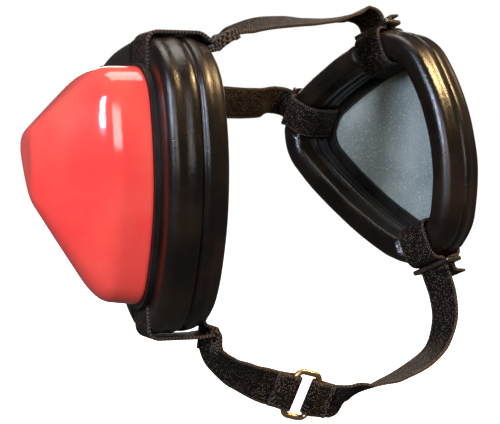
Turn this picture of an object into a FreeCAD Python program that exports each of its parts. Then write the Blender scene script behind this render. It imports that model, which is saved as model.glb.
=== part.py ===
"""Strap-on ear protector for a dog: two rounded-triangle cups on three webbing straps.

Millimetres. +Z is up, +X runs from the left cup towards the right one, and the
origin is the centre of the left cup's opening, in its seal plane.

Each cup is drawn in its own frame: u and v lie in the seal plane (u towards the
nape corner, v up) and depth runs outwards, away from the head. The left cup's
depth runs along -X and the right cup's along its own tilted axis.
"""
import FreeCAD, Part
import math
import os
import Sketcher

Vector = FreeCAD.Vector
Rotation = FreeCAD.Rotation
Placement = FreeCAD.Placement

DOC = FreeCAD.newDocument("ear_protector")
SHEET = DOC.addObject("Spreadsheet::Sheet", "sizes")

# Driving sizes: alias, value, meaning.
SIZES = (
    ("crown_u", -11.0, "centre of the crown corner, along u"),
    ("crown_v", 27.5, "centre of the crown corner, along v"),
    ("nape_u", 32.5, "centre of the nape corner, along u"),
    ("nape_v", 20.0, "centre of the nape corner, along v"),
    ("chin_u", -5.5, "centre of the chin corner, along u"),
    ("chin_v", -31.0, "centre of the chin corner, along v"),
    ("corner_radius", 21.5, "radius of the outline's corners"),
    ("nape_side_radius", 243.5, "radius of the side from chin to nape"),
    ("top_side_radius", 153.5, "radius of the side from nape to crown"),
    ("front_side_radius", 101.5, "radius of the side from crown to chin"),
    ("cushion_thickness", 25.0, "seal face to flange"),
    ("cushion_round", 5.5, "rounding of the cushion's four edges"),
    ("foam_depth", 3.5, "seal face to the foam inside the cushion"),
    ("foam_thickness", 18.0, "thickness of the foam inside the cushion"),
    ("foam_round", 4.0, "rounding of that foam"),
    ("flange_thickness", 2.0, "plate between cushion and shell"),
    ("liner_thickness", 9.0, "sound-absorbing foam behind the flange"),
    ("band_depth", 15.0, "shell rim to the end of its side band"),
    ("shell_depth", 39.0, "shell rim to its small end face"),
    ("shell_wall", 2.5, "thickness of the shell"),
    ("shell_round", 5.0, "rounding of the shell's crease"),
    ("end_round", 3.0, "rounding of the shell's end face"),
    ("webbing_width", 16.0, "five-eighths inch webbing"),
    ("webbing_thickness", 1.4, "one layer of webbing"),
    ("webbing_sink", 0.9, "middle of the webbing below the seal face"),
    ("groove_width", 17.0, "groove for the webbing across the cushion"),
    ("groove_depth", 2.2, "depth of that groove"),
    ("groove_reach", 60.0, "length of the groove's cutting box"),
    ("inner_leg", 11.2, "webbing inside the opening, from the tube's middle"),
    ("outer_leg", 8.3, "webbing on the cushion's outer wall, likewise"),
    ("crown_angle", 88.0, "direction of the crown strap, from u"),
    ("nape_angle", 45.0, "direction of the nape strap, from u"),
    ("chin_angle", -96.0, "direction of the chin strap, from u"),
    ("crown_tip", 3.5, "where the left crown loop's legs meet"),
    ("nape_tip", 4.5, "where the left nape loop's legs meet"),
    ("chin_tip", 8.0, "where the left chin loop's legs meet"),
    ("tip_depth", -2.5, "depth of those meeting points"),
    ("leg_spacing", 6.0, "between the two legs that pass a slide"),
    ("leg_end", 14.6, "where the straight legs beyond a slide end"),
    ("slide_length", 22.0, "slide, along the webbing's width"),
    ("slide_breadth", 12.0, "slide, across its two slots"),
    ("slide_thickness", 2.4, "slide plate"),
    ("slide_base", 9.3, "underside of a slide, from the tube's middle"),
    ("slot_length", 17.4, "slot of a slide"),
    ("slot_width", 2.4, "slot of a slide"),
    ("slide_round", 0.9, "rounding of a slide's edges"),
    ("ring_span", 12.0, "between the chin ring's two bars"),
    ("ring_width", 20.6, "between the middles of its two ends"),
    ("ring_wire", 1.3, "radius of the ring's wire"),
    ("ring_corner", 3.2, "bend radius of the ring's corners"),
    ("eye_gap", 0.35, "play of a sewn eye round a ring bar"),
    ("eye_seam", 9.0, "length of the doubled, sewn strap end"),
)

# Outlines parallel to the cup's middle line: name, offset, scale, shift along u and v.
OUTLINES = (
    ("cushion_outer", 7.0, 1.0, 0.0, 0.0),
    ("cushion_inner", -7.0, 1.0, 0.0, 0.0),
    ("foam_outer", 5.5, 1.0, 0.0, 0.0),
    ("foam_inner", -5.5, 1.0, 0.0, 0.0),
    ("flange_outer", -3.0, 1.0, 0.0, 0.0),
    ("flange_inner", -10.0, 1.0, 0.0, 0.0),
    ("liner", -9.3, 1.0, 0.0, 0.0),
    ("rim", -4.5, 1.0, 0.0, 0.5),
    ("band", -6.0, 1.0, 0.0, 1.5),
    ("end", -1.0, 0.27, 0.2, 8.6),
)

CORNERS = ("chin", "nape", "crown")
SIDES = ("nape_side_radius", "top_side_radius", "front_side_radius")
STATIONS = ("crown", "nape", "chin")

# The right cup as it hangs: its opening's centre, then yaw, pitch and roll.
RIGHT_CENTRE = Vector(116, 43.5, 8)
RIGHT_TURN = Rotation(19.0, 2.0, -20.5)

UPRIGHT = Rotation(Vector(0, 1, 0), Vector(0, 0, 1), Vector(1, 0, 0), "XYZ")
CUPS = {
    "left": (-1, Placement(Vector(0, 0, 0), UPRIGHT)),
    "right": (1, Placement(RIGHT_CENTRE, RIGHT_TURN.multiply(UPRIGHT))),
}


def fill_sheet():
    rows = list(SIZES)
    for name, *values in OUTLINES:
        for word, value in zip(("offset", "scale", "shift_u", "shift_v"), values):
            rows.append((f"{name}_{word}", value, f"{word} of the {name} outline"))
    for row, (alias, value, meaning) in enumerate(rows, start=1):
        SHEET.set(f"A{row}", meaning)
        SHEET.set(f"B{row}", str(value))
        SHEET.setAlias(f"B{row}", alias)
    DOC.recompute()


def size(alias):
    return float(SHEET.get(alias))


# ---------------------------------------------------------------- sketches

def side_centre(start, end, start_radius, end_radius, radius):
    """Centre of the side arc that both corner circles touch from inside."""
    chord = end - start
    a = radius - start_radius
    b = radius - end_radius
    along = (a * a - b * b + chord.Length ** 2) / (2 * chord.Length)
    rise = math.sqrt(a * a - along * along)
    direction = Vector(chord).normalize()
    return start + direction * along + Vector(-direction.y, direction.x, 0) * rise


def arc(centre, radius, start, end):
    """Counter-clockwise arc about centre, from the direction of start to that of end."""
    first = math.atan2(start.y, start.x)
    last = math.atan2(end.y, end.x)
    if last < first:
        last += 2 * math.pi
    circle = Part.Circle(centre, Vector(0, 0, 1), radius)
    return Part.ArcOfCircle(circle, first, last)


def add_outline(sketch, name, inset=None):
    """Six tangent arcs, three corners and three sides, bound to the sheet."""
    grow = size(f"{name}_offset") - (size(inset) if inset else 0)
    scale = size(f"{name}_scale")
    shift = Vector(size(f"{name}_shift_u"), size(f"{name}_shift_v"), 0)
    centres = [Vector(size(f"{c}_u"), size(f"{c}_v"), 0) * scale + shift for c in CORNERS]
    corner = size("corner_radius") * scale + grow
    radii = [size(side) * scale + grow for side in SIDES]
    middles = [side_centre(centres[i], centres[(i + 1) % 3], corner, corner, radii[i])
               for i in range(3)]
    base = sketch.GeometryCount
    for i in range(3):
        j = (i + 1) % 3
        first = centres[i] - middles[i]
        last = centres[j] - middles[i]
        sketch.addGeometry(arc(middles[i], radii[i], first, last), False)
        sketch.addGeometry(arc(centres[j], corner, last, centres[j] - middles[j]), False)

    for k in range(6):
        sketch.addConstraint(Sketcher.Constraint("Tangent", base + k, 2, base + (k + 1) % 6, 1))

    def bind(kind, where, value, expression, title):
        index = sketch.addConstraint(Sketcher.Constraint(kind, *where, value))
        sketch.renameConstraint(index, title)
        sketch.setExpression(f"Constraints.{title}", expression)

    less = f" - sizes.{inset}" if inset else ""
    radius_rule = f" * sizes.{name}_scale + sizes.{name}_offset{less}"
    for i, side in enumerate(SIDES):
        j = (i + 1) % 3
        curve = base + 2 * i
        bind("Radius", (curve,), radii[i], f"sizes.{side}{radius_rule}", f"{name}_{side}")
        turn = curve + 1
        bind("Radius", (turn,), corner, f"sizes.corner_radius{radius_rule}",
             f"{name}_{CORNERS[j]}_radius")
        for axis, kind, place in (("u", "DistanceX", centres[j].x), ("v", "DistanceY", centres[j].y)):
            rule = f"sizes.{CORNERS[j]}_{axis} * sizes.{name}_scale + sizes.{name}_shift_{axis}"
            bind(kind, (-1, 1, turn, 3), place, rule, f"{name}_{CORNERS[j]}_{axis}")


def new_body(label, placement):
    body = DOC.addObject("PartDesign::Body", label)
    body.Label = label
    body.Placement = placement
    return body


def new_sketch(body, name, level=None, role="XY_Plane"):
    """Sketch on one of the body's own planes, lifted by the level's expression."""
    sketch = body.newObject("Sketcher::SketchObject", f"{body.Label}_{name}")
    plane = [f for f in body.Origin.OriginFeatures if f.Role == role][0]
    sketch.AttachmentSupport = [(plane, "")]
    sketch.MapMode = "FlatFace"
    if level:
        sketch.setExpression("AttachmentOffset.Base.z", level)
    return sketch


def outline_sketch(body, names, side, level=None, inset=None):
    lift = f"{side} * ({level})" if level else None
    sketch = new_sketch(body, "_".join(names) + ("_inner" if inset else ""), lift)
    for name in names:
        add_outline(sketch, name, inset)
    DOC.recompute()
    return sketch


def pad(body, sketch, length, side):
    feature = body.newObject("PartDesign::Pad", f"{sketch.Name}_pad")
    feature.Profile = sketch
    feature.setExpression("Length", length)
    feature.Reversed = side < 0
    sketch.Visibility = False
    DOC.recompute()
    return feature


def loft(body, kind, sketches, name):
    feature = body.newObject(f"PartDesign::{kind}", f"{body.Label}_{name}")
    feature.Profile = sketches[0]
    feature.Sections = sketches[1:]
    feature.Ruled = True
    DOC.recompute()
    return feature


def edges_at(shape, depth):
    """Names of the edges that lie whole in the plane at this local height."""
    names = []
    for number, edge in enumerate(shape.Edges, start=1):
        box = edge.BoundBox
        if abs(box.ZMin - depth) < 1e-3 and abs(box.ZMax - depth) < 1e-3:
            names.append(f"Edge{number}")
    return names


def fillet(body, base, edges, radius, name):
    feature = body.newObject("PartDesign::Fillet", f"{body.Label}_{name}")
    feature.Base = (base, edges)
    feature.setExpression("Radius", f"sizes.{radius}")
    DOC.recompute()
    return feature


# ---------------------------------------------------------------- cup parts

CUSHION_BACK = "sizes.cushion_thickness"
FLANGE_BACK = "sizes.cushion_thickness + sizes.flange_thickness"


def rounded_ring(label, placement, side, names, level, thickness, rounding):
    """Ring between two outlines, with all four of its edges rounded."""
    body = new_body(label, placement)
    sketch = outline_sketch(body, names, side, level)
    ring = pad(body, sketch, f"sizes.{thickness}", side)
    box = ring.Shape.BoundBox
    edges = edges_at(ring.Shape, box.ZMin) + edges_at(ring.Shape, box.ZMax)
    fillet(body, ring, edges, rounding, "round")
    return body


def make_flange(label, placement, side):
    body = new_body(label, placement)
    sketch = outline_sketch(body, ("flange_outer", "flange_inner"), side, CUSHION_BACK)
    pad(body, sketch, "sizes.flange_thickness", side)
    return body


def make_liner(label, placement, side):
    body = new_body(label, placement)
    sketch = outline_sketch(body, ("liner",), side, FLANGE_BACK)
    pad(body, sketch, "sizes.liner_thickness", side)
    return body


def make_shell(label, placement, side):
    """Side band, then flat facets that taper to a small end face, hollowed out."""
    body = new_body(label, placement)
    levels = {
        "rim": FLANGE_BACK,
        "band": f"{FLANGE_BACK} + sizes.band_depth",
        "end": f"{FLANGE_BACK} + sizes.shell_depth",
    }
    outer = {name: outline_sketch(body, (name,), side, level) for name, level in levels.items()}
    loft(body, "AdditiveLoft", [outer["rim"], outer["band"]], "side_band")
    solid = loft(body, "AdditiveLoft", [outer["band"], outer["end"]], "facets")
    depth = side * (size("cushion_thickness") + size("flange_thickness"))
    crease = edges_at(solid.Shape, depth + side * size("band_depth"))
    solid = fillet(body, solid, crease, "shell_round", "crease_round")
    nose = edges_at(solid.Shape, depth + side * size("shell_depth"))
    fillet(body, solid, nose, "end_round", "nose_round")

    inner_levels = dict(levels, end=f"{FLANGE_BACK} + sizes.shell_depth - sizes.shell_wall")
    inner = {name: outline_sketch(body, (name,), side, level, "shell_wall")
             for name, level in inner_levels.items()}
    loft(body, "SubtractiveLoft", [inner["rim"], inner["band"]], "hollow_band")
    loft(body, "SubtractiveLoft", [inner["band"], inner["end"]], "hollow_facets")
    return body


def station_placement(cup_placement, station):
    """Frame on the cushion's middle line: X outwards, Y along the tube, Z the cup's axis."""
    angle = size(f"{station}_angle")
    outwards = Vector(math.cos(math.radians(angle)), math.sin(math.radians(angle)), 0)
    corner = Vector(size(f"{station}_u"), size(f"{station}_v"), 0)
    point = corner + outwards * size("corner_radius")
    return cup_placement.multiply(Placement(point, Rotation(Vector(0, 0, 1), angle)))


def make_box(label, placement, length, width, height):
    box = DOC.addObject("Part::Box", label)
    box.Label = label
    box.Placement = placement
    for word, rule in (("Length", length), ("Width", width), ("Height", height)):
        box.setExpression(word, rule)
    return box


def groove_boxes(cup, placement, side):
    """Boxes that cut the webbing's grooves across the seal face and the back face."""
    depth = size("groove_depth")
    boxes = []
    for station in STATIONS:
        frame = station_placement(placement, station)
        for face, surface in (("seal", 0.0), ("back", size("cushion_thickness"))):
            inner = surface if face == "seal" else surface - depth
            low = inner if side > 0 else -inner - depth
            corner = Vector(-size("groove_reach") / 2, -size("groove_width") / 2, low)
            place = frame.multiply(Placement(corner, Rotation()))
            boxes.append(make_box(f"{cup}_{station}_{face}_groove", place, "sizes.groove_reach",
                                  "sizes.groove_width", "sizes.groove_depth"))
    return boxes


def make_cushion(cup, placement, side):
    """Skin and foam: the skin is a rounded ring, hollow where the foam is."""
    foam = rounded_ring(f"{cup}_cushion_foam", placement, side, ("foam_outer", "foam_inner"),
                        "sizes.foam_depth", "foam_thickness", "foam_round")
    ring = rounded_ring(f"{cup}_cushion_ring", placement, side, ("cushion_outer", "cushion_inner"),
                        None, "cushion_thickness", "cushion_round")
    tools = DOC.addObject("Part::MultiFuse", f"{cup}_cushion_cuts")
    tools.Shapes = [foam] + groove_boxes(cup, placement, side)
    cover = DOC.addObject("Part::Cut", f"{cup}_cushion_cover")
    cover.Label = f"{cup}_cushion_cover"
    cover.Base = ring
    cover.Tool = tools
    return [cover, foam]


# ---------------------------------------------------------------- webbing

def shifted_corners(points, distance, closed):
    """Corners of the route moved sideways by distance, to the left of its direction."""
    count = len(points)
    lines = []
    for i in range(count if closed else count - 1):
        start, end = points[i], points[(i + 1) % count]
        direction = (end - start).normalize()
        left = Vector(-direction.y, direction.x, 0) * distance
        lines.append((start + left, end + left, direction))
    corners = [] if closed else [lines[0][0]]
    for i in range(len(lines) if closed else len(lines) - 1):
        before = lines[i - 1] if closed else lines[i]
        after = lines[i] if closed else lines[i + 1]
        gap = after[0] - before[0]
        cross = before[2].x * after[2].y - before[2].y * after[2].x
        along = (gap.x * after[2].y - gap.y * after[2].x) / cross
        corners.append(before[0] + before[2] * along)
    return corners if closed else corners + [lines[-1][1]]


def rounded_wire(points, radii, closed):
    """Straight runs joined by tangent arcs, one radius for each corner."""
    count = len(points)
    edges = []
    last = None
    first = None
    for i, (point, radius) in enumerate(zip(points, radii)):
        if not closed and i in (0, count - 1):
            enter = leave = point
            curve = None
        else:
            back = (points[i - 1] - point).normalize()
            ahead = (points[(i + 1) % count] - point).normalize()
            half = back.getAngle(ahead) / 2
            trim = radius / math.tan(half)
            enter = point + back * trim
            leave = point + ahead * trim
            middle = point + (back + ahead).normalize() * (radius / math.sin(half) - radius)
            curve = Part.Arc(enter, middle, leave).toShape()
        if last is not None:
            edges.append(Part.makeLine(last, enter))
        if curve:
            edges.append(curve)
        first = enter if first is None else first
        last = leave
    if closed:
        edges.append(Part.makeLine(last, first))
    return edges


def band_solid(points, radii, closed):
    """Webbing of one layer that follows a flat route of straight runs and arcs."""
    half = size("webbing_thickness") / 2
    count = len(points)
    edges = []
    for distance in (half, -half):
        bent = []
        for i, radius in enumerate(radii):
            ends = not closed and i in (0, count - 1)
            before = points[i] - points[i - 1]
            after = points[(i + 1) % count] - points[i]
            turn = 1 if before.x * after.y - before.y * after.x > 0 else -1
            bent.append(0 if ends else radius - turn * distance)
        edges.append(rounded_wire(shifted_corners(points, distance, closed), bent, closed))
    if closed:
        wires = [Part.Wire(Part.__sortEdges__(side)) for side in edges]
        wires.sort(key=lambda wire: wire.BoundBox.DiagonalLength, reverse=True)
        face = Part.Face(wires[0]).cut(Part.Face(wires[1])).Faces[0]
    else:
        caps = [Part.makeLine(edges[0][0].Vertexes[0].Point, edges[1][0].Vertexes[0].Point),
                Part.makeLine(edges[0][-1].Vertexes[-1].Point, edges[1][-1].Vertexes[-1].Point)]
        face = Part.Face(Part.Wire(Part.__sortEdges__(edges[0] + edges[1] + caps)))
    return face.extrude(Vector(0, 0, size("webbing_width")))


def left_loop_route(station):
    """Closed teardrop: round the whole cushion, its legs meeting at the tip."""
    near = size("webbing_sink")
    far = size("cushion_thickness") - near
    tip = size(f"{station}_tip")
    tip_depth = size("tip_depth")
    outer = size("outer_leg")
    corner = max(outer, tip + 0.8)
    route = (
        (-size("inner_leg"), near, 4.2),
        (-size("inner_leg"), far, 4.2),
        (outer, far, 4.2),
        (corner, 2.4, 3.0),
        (tip, tip_depth, 1.0),
        (tip - 3.4, near, 3.0),
    )
    return route


def right_loop_route():
    """Open band: in through one slot, round the cushion, out through the other slot."""
    near = size("webbing_sink")
    far = size("cushion_thickness") - near
    middle = size("cushion_thickness") / 2
    half = size("leg_spacing") / 2
    outer = size("outer_leg")
    end = size("leg_end")
    return (
        (end, middle - half, 0),
        (outer, middle - half, 1.5),
        (outer, near, 4.2),
        (-size("inner_leg"), near, 4.2),
        (-size("inner_leg"), far, 4.2),
        (outer, far, 4.2),
        (outer, middle + half, 1.5),
        (end + 0.6, middle + half, 1.8),
        (end + 1.6, middle + half + 7.0, 0),
    )


def loop_frame(placement, station):
    """The station's frame with X and Y across the cushion and Z along the tube.

    Its origin is half a webbing width back, so that what is extruded ends up centred.
    """
    across = Placement(Vector(0, size("webbing_width") / 2, 0), Rotation(Vector(1, 0, 0), 90))
    return station_placement(placement, station).multiply(across)


def make_loop(cup, station, placement, side):
    route = left_loop_route(station) if cup == "left" else right_loop_route()
    points = [Vector(out, side * depth, 0) for out, depth, _ in route]
    radii = [radius for *_, radius in route]
    feature = DOC.addObject("Part::Feature", f"{cup}_{station}_loop")
    feature.Label = f"{cup}_{station}_loop"
    feature.Shape = band_solid(points, radii, closed=cup == "left")
    feature.Placement = loop_frame(placement, station)
    return feature


def cup_point(cup, station, out, depth):
    """A point of the station's cross-section, and the webbing's width direction there."""
    side, placement = CUPS[cup]
    frame = station_placement(placement, station)
    point = frame.multVec(Vector(out, 0, side * depth))
    return point, frame.Rotation.multVec(Vector(0, 1, 0))


def left_tip(station, beyond=1.6):
    return cup_point("left", station, size(f"{station}_tip"), size("tip_depth") - beyond)


def right_end(station, further=0.0, inwards=0.0):
    """End of the straight leg beyond a slide, or a place further out and towards the head."""
    depth = (size("cushion_thickness") - size("leg_spacing")) / 2
    return cup_point("right", station, size("leg_end") + further, depth - inwards)


def smooth(stops, steps):
    """Points and width directions along a smooth curve through the stops."""
    samples = []
    for i in range(len(stops) - 1):
        window = [stops[max(i - 1, 0)], stops[i], stops[i + 1], stops[min(i + 2, len(stops) - 1)]]
        for step in range(steps):
            t = step / steps
            weights = (-0.5 * t + t * t - 0.5 * t ** 3, 1 - 2.5 * t * t + 1.5 * t ** 3,
                       0.5 * t + 2 * t * t - 1.5 * t ** 3, -0.5 * t * t + 0.5 * t ** 3)
            point = Vector()
            for weight, stop in zip(weights, window):
                point += stop[0] * weight
            width = window[1][1] * (1 - t) + window[2][1] * t
            samples.append((point, width))
    return samples + [stops[-1]]


def ribbon(stops, steps=3, ends=(None, None)):
    """Webbing that follows a curve in space and turns with the given width directions.

    ends may give the directions that the first and last sections face.
    """
    samples = smooth(stops, steps)
    last = len(samples) - 1
    half_width = size("webbing_width") / 2
    half_layer = size("webbing_thickness") / 2
    wires = []
    for i, (point, width) in enumerate(samples):
        given = ends[0] if i == 0 else ends[1] if i == last else None
        tangent = given or samples[min(i + 1, last)][0] - samples[max(i - 1, 0)][0]
        tangent = Vector(tangent).normalize()
        across = (width - tangent * width.dot(tangent)).normalize() * half_width
        normal = tangent.cross(across).normalize() * half_layer
        corners = [point + across + normal, point - across + normal,
                   point - across - normal, point + across - normal]
        wires.append(Part.makePolygon(corners + corners[:1]))
    return Part.makeLoft(wires, True, True)


def add_feature(label, shape):
    feature = DOC.addObject("Part::Feature", label)
    feature.Label = label
    feature.Shape = shape
    return feature


# The chin ring's middle, the way from its left bar to its right bar, and its width.
RING_CENTRE = Vector(48.5, -5.0, -94.5)
RING_ALONG = Vector(0.94, 0.03, -0.33).normalize()
RING_TURN = Rotation(RING_ALONG, Vector(-0.33, 0.15, -0.93), Vector(), "XYZ")
RING_ACROSS = RING_TURN.multVec(Vector(0, 1, 0))


def make_ring():
    """Rectangular ring of round wire, lying in its own XY plane."""
    body = new_body("chin_ring", Placement(RING_CENTRE, RING_TURN))
    x, y, bend = size("ring_span") / 2, size("ring_width") / 2, size("ring_corner")
    spine = new_sketch(body, "spine")
    middles = [Vector(x - bend, y - bend, 0), Vector(-x + bend, y - bend, 0),
               Vector(-x + bend, -y + bend, 0), Vector(x - bend, -y + bend, 0)]
    turns = [Vector(1, 0, 0), Vector(0, 1, 0), Vector(-1, 0, 0), Vector(0, -1, 0)]
    for i in range(4):
        start, end = turns[i] * bend, turns[(i + 1) % 4] * bend
        spine.addGeometry(arc(middles[i], bend, start, end), False)
        following = middles[(i + 1) % 4] + end
        spine.addGeometry(Part.LineSegment(middles[i] + end, following), False)
    for k in range(8):
        spine.addConstraint(Sketcher.Constraint("Tangent", k, 2, (k + 1) % 8, 1))
    for k in (2, 4, 6):
        spine.addConstraint(Sketcher.Constraint("Equal", 0, k))
    spine.addConstraint(Sketcher.Constraint("Horizontal", 1))
    spine.addConstraint(Sketcher.Constraint("Symmetric", 0, 3, 4, 3, -1, 1))
    rules = (
        ("bend", Sketcher.Constraint("Radius", 0, bend), "sizes.ring_corner"),
        ("half_span", Sketcher.Constraint("DistanceX", -1, 1, 0, 3, x - bend),
         "sizes.ring_span / 2 - sizes.ring_corner"),
        ("half_width", Sketcher.Constraint("DistanceY", -1, 1, 0, 3, y - bend),
         "sizes.ring_width / 2 - sizes.ring_corner"),
    )
    for title, constraint, rule in rules:
        spine.renameConstraint(spine.addConstraint(constraint), title)
        spine.setExpression(f"Constraints.{title}", rule)
    section = new_sketch(body, "wire", role="YZ_Plane")
    section.addGeometry(Part.Circle(Vector(y, 0, 0), Vector(0, 0, 1), size("ring_wire")), False)
    section.addConstraint(Sketcher.Constraint("PointOnObject", 0, 3, -1))
    wire_rules = (
        ("wire", Sketcher.Constraint("Radius", 0, size("ring_wire")), "sizes.ring_wire"),
        ("place", Sketcher.Constraint("DistanceX", -1, 1, 0, 3, y), "sizes.ring_width / 2"),
    )
    for title, constraint, rule in wire_rules:
        section.renameConstraint(section.addConstraint(constraint), title)
        section.setExpression(f"Constraints.{title}", rule)
    DOC.recompute()
    pipe = body.newObject("PartDesign::AdditivePipe", "chin_ring_pipe")
    pipe.Profile = section
    pipe.Spine = spine
    DOC.recompute()
    return body


def sewn_eye(side):
    """The strap's end folded round a ring bar: an eye and a doubled, sewn stretch."""
    inner = size("ring_wire") + size("eye_gap")
    outer = inner + size("webbing_thickness")
    width = size("webbing_width")
    direction = Vector(0, 1, 0)
    start = Vector(0, -width / 2, 0)
    eye = Part.makeCylinder(outer, width, start, direction)
    length = size("eye_seam")
    layers = 2 * size("webbing_thickness")
    seam = Part.makeBox(length, width, layers, Vector(0, -width / 2, -layers / 2))
    if side < 0:
        seam.translate(Vector(-length, 0, 0))
    solid = eye.fuse(seam).cut(Part.makeCylinder(inner, width, start, direction))
    solid.Placement = Placement(RING_CENTRE, RING_TURN)
    solid.Placement = solid.Placement.multiply(
        Placement(Vector(side * size("ring_span") / 2, 0, 0), Rotation()))
    return solid


def seam_end(side):
    reach = size("ring_span") / 2 + size("eye_seam")
    return RING_CENTRE + RING_ALONG * (side * (reach - 0.5)), RING_ACROSS


def inwards_leg(station):
    """The way the strap runs as it enters its slide."""
    return right_end(station)[0] - right_end(station, 1.0)[0]


def make_straps():
    crown = [left_tip("crown"),
             (Vector(8.4, -10.5, 55.2), Vector(0, -0.98, 0.1)),
             (Vector(18.6, -7, 59.7), Vector(0, -0.97, -0.22)),
             (Vector(34.6, 1, 63.5), Vector(0.05, -0.96, -0.28)),
             (Vector(53.6, 13, 65.8), Vector(0.15, -0.95, -0.25)),
             (Vector(74.4, 27, 67.7), Vector(0.22, -0.95, -0.12)),
             (Vector(96, 41.5, 70.8), Vector(0.28, -0.93, 0.15)),
             right_end("crown", 3.8, 9.0), right_end("crown", 3.4, 4.2),
             right_end("crown", 2.2, 1.4), right_end("crown")]
    nape = [left_tip("nape"),
            (Vector(10, 53, 38), Vector(-0.05, -0.65, 0.75)),
            (Vector(20, 60.5, 34.8), Vector(-0.15, -0.5, 0.85)),
            (Vector(37.1, 73, 31.6), Vector(-0.1, -0.25, 0.95)),
            (Vector(59.4, 87, 30.3), Vector(0, -0.15, 1)),
            (Vector(79.4, 100, 30.2), Vector(0.05, -0.2, 0.97)),
            right_end("nape", 3.8, 9.0), right_end("nape", 3.4, 4.2),
            right_end("nape", 2.2, 1.4), right_end("nape")]
    chin_left = [left_tip("chin"),
                 (Vector(5.2, -7.5, -68.3), Vector(0, 0.85, -0.5)),
                 (Vector(10.9, -6.5, -76), Vector(-0.05, 0.75, -0.65)),
                 (Vector(20, -6, -82.5), Vector(-0.2, 0.55, -0.8)),
                 seam_end(-1)]
    chin_right = [seam_end(1),
                  (Vector(74, -4, -97.2), Vector(-0.1, 0.7, -0.7)),
                  (Vector(84, -3, -96.6), Vector(0, 0.9, -0.4)),
                  (Vector(98.4, -1, -94.9), Vector(0, 0.98, -0.2)),
                  (Vector(114.8, 2, -90.6), Vector(-0.05, 0.98, -0.12)),
                  (Vector(127, 5, -84.1), Vector(-0.1, 0.97, -0.2)),
                  (Vector(134.3, 9, -72.1), Vector(-0.25, 0.92, -0.3)),
                  (Vector(135.3, 12.8, -61.1), Vector(-0.3, 0.87, -0.4)),
                  right_end("chin")]
    straps = []
    for station, stops in (("crown", crown), ("nape", nape)):
        shape = ribbon(stops, ends=(Vector(1, 0, 0), inwards_leg(station)))
        straps.append(add_feature(f"{station}_strap", shape))
    left = ribbon(chin_left)
    right = ribbon(chin_right, ends=(None, inwards_leg("chin")))
    for label, shape, side in (("chin_strap_left", left, -1), ("chin_strap_right", right, 1)):
        straps.append(add_feature(label, shape.fuse(sewn_eye(side)).removeSplitter()))
    return straps


def make_slide(station):
    """Flat two-slot slide that the webbing passes through twice."""
    side, placement = CUPS["right"]
    frame = station_placement(placement, station)
    middle = side * size("cushion_thickness") / 2
    base = Vector(size("slide_base"), -size("slide_length") / 2,
                  middle - size("slide_breadth") / 2)
    plate = make_box(f"{station}_slide_plate", frame.multiply(Placement(base, Rotation())),
                     "sizes.slide_thickness", "sizes.slide_length", "sizes.slide_breadth")
    slots = []
    for sign in (-1, 1):
        start = middle + sign * size("leg_spacing") / 2 - size("slot_width") / 2
        corner = Vector(size("slide_base") - 1, -size("slot_length") / 2, start)
        slots.append(make_box(f"{station}_slide_slot_{sign + 2}",
                              frame.multiply(Placement(corner, Rotation())),
                              "sizes.slide_thickness + 2", "sizes.slot_length", "sizes.slot_width"))
    DOC.recompute()
    rounded = DOC.addObject("Part::Fillet", f"{station}_slide_round")
    rounded.Base = plate
    radius = size("slide_round")
    rounded.Edges = [(number, radius, radius) for number in range(1, 13)]
    pair = DOC.addObject("Part::MultiFuse", f"{station}_slide_slots")
    pair.Shapes = slots
    slide = DOC.addObject("Part::Cut", f"{station}_slide")
    slide.Label = f"{station}_slide"
    slide.Base = rounded
    slide.Tool = pair
    return slide


def make_cup(cup):
    side, placement = CUPS[cup]
    parts = [
        make_shell(f"{cup}_shell", placement, side),
        make_flange(f"{cup}_flange", placement, side),
        make_liner(f"{cup}_foam_liner", placement, side),
    ]
    parts += make_cushion(cup, placement, side)
    parts += [make_loop(cup, station, placement, side) for station in STATIONS]
    return parts


def check(parts):
    """Stop if any object failed to build or any part isn't a sound solid."""
    for item in DOC.Objects:
        if "Invalid" in item.State or "Error" in item.State:
            raise RuntimeError(f"{item.Label} did not build: {item.State}")
    for part in parts:
        if part.Shape.isNull() or not part.Shape.isValid() or not part.Shape.Solids:
            raise RuntimeError(f"{part.Label} has no sound shape")


def report_joints():
    """Print the places and axes that the joints use."""
    for cup, point in (("left", left_tip), ("right", right_end)):
        top, bottom = point("crown")[0], point("chin")[0]
        print(cup, "swivel through", bottom, "and", top)
    for station in STATIONS:
        inner, outer = (cup_point("right", station, out, 12.5)[0] for out in (0, 1))
        print(station, "slide axis", outer - inner)
    print("ring bar", RING_CENTRE - RING_ALONG * (size("ring_span") / 2), RING_ACROSS)


def main():
    fill_sheet()
    parts = make_cup("left") + make_cup("right") + make_straps() + [make_ring()]
    parts += [make_slide(station) for station in STATIONS]
    DOC.recompute()
    check(parts)
    os.makedirs("parts", exist_ok=True)
    for part in parts:
        part.Shape.exportStep(f"parts/{part.Label}.step")
        box = part.Shape.BoundBox
        print(f"{part.Label:20s} solids {len(part.Shape.Solids)} volume {part.Shape.Volume:9.1f}"
              f"  x {box.XMin:6.1f} {box.XMax:6.1f}  y {box.YMin:6.1f} {box.YMax:6.1f}"
              f"  z {box.ZMin:6.1f} {box.ZMax:6.1f}")
    report_joints()


main()
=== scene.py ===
"""Strap-on ear protector for a dog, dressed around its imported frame.

Hard coral shells, welded vinyl cushions, speckled foam, woven webbing with sewn
loops, glossy slides and a brass ring. Lengths are millimetres in the frame's axes
until a mesh is made, when MM turns them into metres.
"""
import math

import bmesh
import bpy
import numpy as np
from mathutils import Euler, Matrix, Vector, noise


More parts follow.
